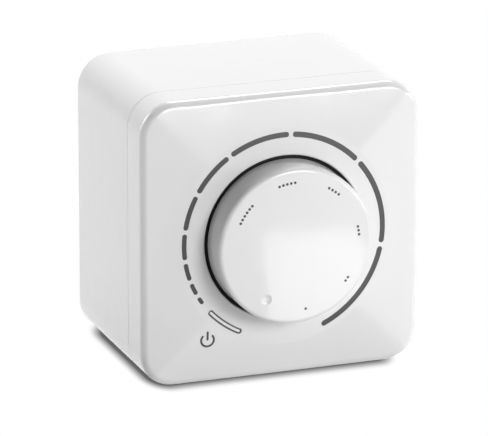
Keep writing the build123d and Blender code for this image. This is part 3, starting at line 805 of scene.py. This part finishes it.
class StringFuse(bpy.types.Operator):
    """The thin wire in the fuse's tube"""

    bl_idname = "controller.string_fuse"
    bl_label = "String fuse"

    def execute(self, context):
        settings = context.scene.controller_inside
        low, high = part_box("fuse_tube")
        middle = (low + high) / 2
        # A straight line with a shallow sag towards the board, and a round section.
        way = np.linspace(-1, 1, 33)
        x = middle.x + way * (high.x - low.x) / 2
        deepest = 0.0003
        sag = deepest * (1 - way**2)
        turn = np.linspace(0, tau, 8, endpoint=False)
        size = np.where(np.abs(way) == 1, 0.0, settings.wire_radius)[:, None]
        points = np.stack([
            np.broadcast_to(x[:, None], (len(x), len(turn))),
            middle.y + sag[:, None] + size * np.cos(turn),
            middle.z + size * np.sin(turn),
        ], axis=-1)
        finish = brushed_metal("fuse_wire", (0.7, 0.68, 0.66), 0.3, (0.1, 1.0, 1.0))
        piece("fuse_wire", points, grid_faces(*points.shape[:2]), finish, "housing")
        return {"FINISHED"}


class SetStudio(bpy.types.Operator):
    """White floor, seven softboxes, a card, a dark ceiling, an even surround and the camera"""

    bl_idname = "controller.set_studio"
    bl_label = "Set studio"

    def execute(self, context):
        scene = context.scene
        settings = scene.controller_studio
        scene.view_settings.view_transform = "Standard"
        white_floor(settings)
        small, large = 0.4, 0.5
        softbox("key_softbox", 19, 20, small, settings.key_level)
        softbox("low_softbox", 45, 2, small, settings.low_level)
        softbox("right_softbox", 80, 2, small, settings.right_level)
        softbox("left_softbox", -130, 6, large, settings.left_level)
        softbox("back_left_softbox", -130, 28, large, settings.back_left_level)
        softbox("back_right_softbox", 150, 55, large, settings.back_right_level)
        hide_from(softbox("front_softbox", 10, 2, small, settings.front_level), "glossy")
        reflector_card(settings)
        dark_ceiling()
        even_surround(scene, settings)
        aim_camera(scene, settings)
        return {"FINISHED"}


def square(reach, level):
    """The corners of a level square about the middle."""
    return [(-reach, -reach, level), (reach, -reach, level), (reach, reach, level), (-reach, reach, level)]


def flat_sheet(name, corners, finish):
    """One flat face of the stage."""
    mesh = bpy.data.meshes.new(name)
    mesh.from_pydata(corners, [], [tuple(range(len(corners)))])
    mesh.materials.append(finish)
    sheet = bpy.data.objects.new(name, mesh)
    bpy.context.scene.collection.objects.link(sheet)
    return sheet


def seen_directly(tree):
    """1 for what the camera sees, also in a mirror or through glass, and 0 for scattered light."""
    path = Socket(tree)
    camera = path.node("ShaderNodeLightPath", output="Is Camera Ray")
    glossy = path.node("ShaderNodeLightPath", output="Is Glossy Ray")
    through = path.node("ShaderNodeLightPath", output="Is Transmission Ray")
    return camera.most(glossy.most(through))


def beyond(coordinate, low, high, reach):
    """How far a coordinate lies outside low and high, in shares of a reach."""
    return (low - coordinate).most(coordinate - high).most(0.0) / reach


def bare(name):
    """A new material with an empty node tree."""
    made = bpy.data.materials.new(name)
    made.use_nodes = True
    made.node_tree.nodes.clear()
    return made


def hide_from(staged, *rays):
    """Hides a sheet or a lamp from kinds of rays."""
    for ray in rays:
        setattr(staged, "visible_" + ray, False)


def white_floor(settings):
    """A floor that looks white but for a painted shadow close to the object, and lights it from below. The
    painted shadow pales with the distance outside a rounded rectangle under the object, in shares of its
    reach beside the object and in front of it."""
    made = bare("white_floor")
    made.cycles.emission_sampling = "NONE"
    tree = made.node_tree
    where = places(tree)
    left, right, front, back = -0.0367, 0.0335, -0.0548, -0.001
    corner = 1.3
    side_inset = corner * settings.shadow_side
    front_inset = corner * settings.shadow_front
    aside = beyond(along(where, "X"), left + side_inset, right - side_inset, settings.shadow_side)
    ahead = beyond(along(where, "Y"), front + front_inset, back - front_inset, settings.shadow_front)
    distance = (aside * aside + ahead * ahead) ** 0.5 - corner
    # Painted shadow: greys from dark at the object's lower side to white at the shadow's reach.
    greys = [(0.0, 0.13), (0.4, 0.5), (0.75, 0.88), (1.0, 1.0)]
    stops = [(place, (grey, grey, grey)) for place, grey in greys]
    shade = distance.node("ShaderNodeValToRGB", {"stops": stops}, {"Fac": distance})
    camera = shade.node("ShaderNodeLightPath", output="Is Camera Ray")
    shown = camera.mixed(pure_white, shade)
    glow = shown.node("ShaderNodeEmission", None, {"Color": shown, "Strength": 1.0})
    matt = shown.node("ShaderNodeBsdfDiffuse", None, {"Color": (0.74, 0.74, 0.74, 1.0)})
    both = shown.node("ShaderNodeMixShader", None, {0: seen_directly(tree), 1: matt, 2: glow})
    both.node("ShaderNodeOutputMaterial", None, {"Surface": both})
    reach = 3.0
    flat_sheet("floor", square(reach, cad_low.z), made)


def reflector_card(settings):
    """A bright card on the floor at the front right, outside the picture, for the knob to mirror."""
    made = bare("bright_card")
    sockets = {"Color": pure_white, "Strength": settings.card_level}
    glow = Socket(made.node_tree).node("ShaderNodeEmission", None, sockets)
    glow.node("ShaderNodeOutputMaterial", None, {"Surface": glow})
    thickness = 0.0005
    outline = [(0.002, -0.098), (0.034, -0.236), (0.096, -0.202), (0.052, -0.098)]
    card = flat_sheet("card", [(x, y, cad_low.z + thickness) for x, y in outline], made)
    hide_from(card, "camera", "diffuse", "shadow")


def dark_ceiling():
    """A black sheet overhead that only mirrors show, so that the rounded edges keep a dark line."""
    made = bare("dark_ceiling")
    dull = Socket(made.node_tree).node("ShaderNodeBsdfDiffuse", None, {"Color": (0.0, 0.0, 0.0, 1.0)})
    dull.node("ShaderNodeOutputMaterial", None, {"Surface": dull})
    reach, height = 1.6, 0.9
    ceiling = flat_sheet("ceiling", square(reach, cad_high.z + height), made)
    hide_from(ceiling, "camera", "diffuse", "shadow", "transmission")


def softbox(name, azimuth, elevation, size, level):
    """A square lamp that looks at the object, from degrees to the right of the front and above the horizon.
    Its power is the level times pi times its area."""
    light = bpy.data.lights.new(name, "AREA")
    light.shape = "SQUARE"
    light.size = size
    light.energy = level * pi * size**2
    lamp = bpy.data.objects.new(name, light)
    turn = radians(azimuth)
    rise = radians(elevation)
    way = Vector((np.sin(turn) * np.cos(rise), -np.cos(turn) * np.cos(rise), np.sin(rise)))
    lamp.location = (cad_low + cad_high) / 2 + way * lamp_distance
    lamp.rotation_euler = way.to_track_quat("Z", "Y").to_euler()
    bpy.context.scene.collection.objects.link(lamp)
    return lamp


def even_surround(scene, settings):
    """A world that is white where it is seen and an even grey as a source of light."""
    world = bpy.data.worlds.new("surround")
    world.use_nodes = True
    scene.world = world
    tree = world.node_tree
    tree.nodes.clear()
    seen = seen_directly(tree)
    level = settings.ambient + (1.0 - settings.ambient) * seen
    glow = level.node("ShaderNodeBackground", None, {"Color": pure_white, "Strength": level})
    glow.node("ShaderNodeOutputWorld", None, {"Surface": glow})


def aim_camera(scene, settings):
    """A long lens at the photograph's place, aimed at the point in the middle of the picture."""
    data = bpy.data.cameras.new("camera")
    data.sensor_width = sensor_width
    data.lens = sensor_width * settings.focal_pixels / photo_width
    data.clip_end = 20.0
    camera = bpy.data.objects.new("camera", data)
    scene.collection.objects.link(camera)
    forward = Vector((
        np.sin(settings.yaw) * np.cos(settings.pitch),
        np.cos(settings.yaw) * np.cos(settings.pitch),
        -np.sin(settings.pitch),
    ))
    turn = forward.to_track_quat("-Z", "Y").to_matrix() @ Matrix.Rotation(settings.roll, 3, "Z")
    place = Vector(settings.aim) - forward * settings.distance
    camera.matrix_world = Matrix.Translation(place) @ turn.to_4x4()
    scene.camera = camera


class ControllerPanel(bpy.types.Panel):
    """The steps that dress the controller"""

    bl_idname = "VIEW3D_PT_controller"
    bl_label = "Speed controller"
    bl_space_type = "VIEW_3D"
    bl_region_type = "UI"
    bl_category = "Controller"

    def draw(self, context):
        for step in steps:
            self.layout.operator(step.bl_idname)


groups = {
    "controller_housing": HousingSettings,
    "controller_print": PrintSettings,
    "controller_inside": InsideSettings,
    "controller_studio": StudioSettings,
}
steps = (
    DressHousing, InkScale, PrintDots, PrintPowerSign, OutlineOffMark, DressMechanism, DressBoard,
    SolderLeads, CutThread, StringFuse, SetStudio,
)


def register():
    for group in groups.values():
        bpy.utils.register_class(group)
    for name, group in groups.items():
        setattr(bpy.types.Scene, name, PointerProperty(type=group))
    for step in steps:
        bpy.utils.register_class(step)
    bpy.utils.register_class(ControllerPanel)


def unregister():
    bpy.utils.unregister_class(ControllerPanel)
    for step in reversed(steps):
        bpy.utils.unregister_class(step)
    for name, group in groups.items():
        delattr(bpy.types.Scene, name)
        bpy.utils.unregister_class(group)


def main():
    register()
    bpy.ops.controller.dress_housing()
    bpy.ops.controller.ink_scale()
    bpy.ops.controller.print_dots()
    bpy.ops.controller.print_power_sign()
    bpy.ops.controller.outline_off_mark()
    bpy.ops.controller.dress_mechanism()
    bpy.ops.controller.dress_board()
    bpy.ops.controller.solder_leads()
    bpy.ops.controller.cut_thread()
    bpy.ops.controller.string_fuse()
    bpy.ops.controller.set_studio()


if __name__ == "__main__":
    main()
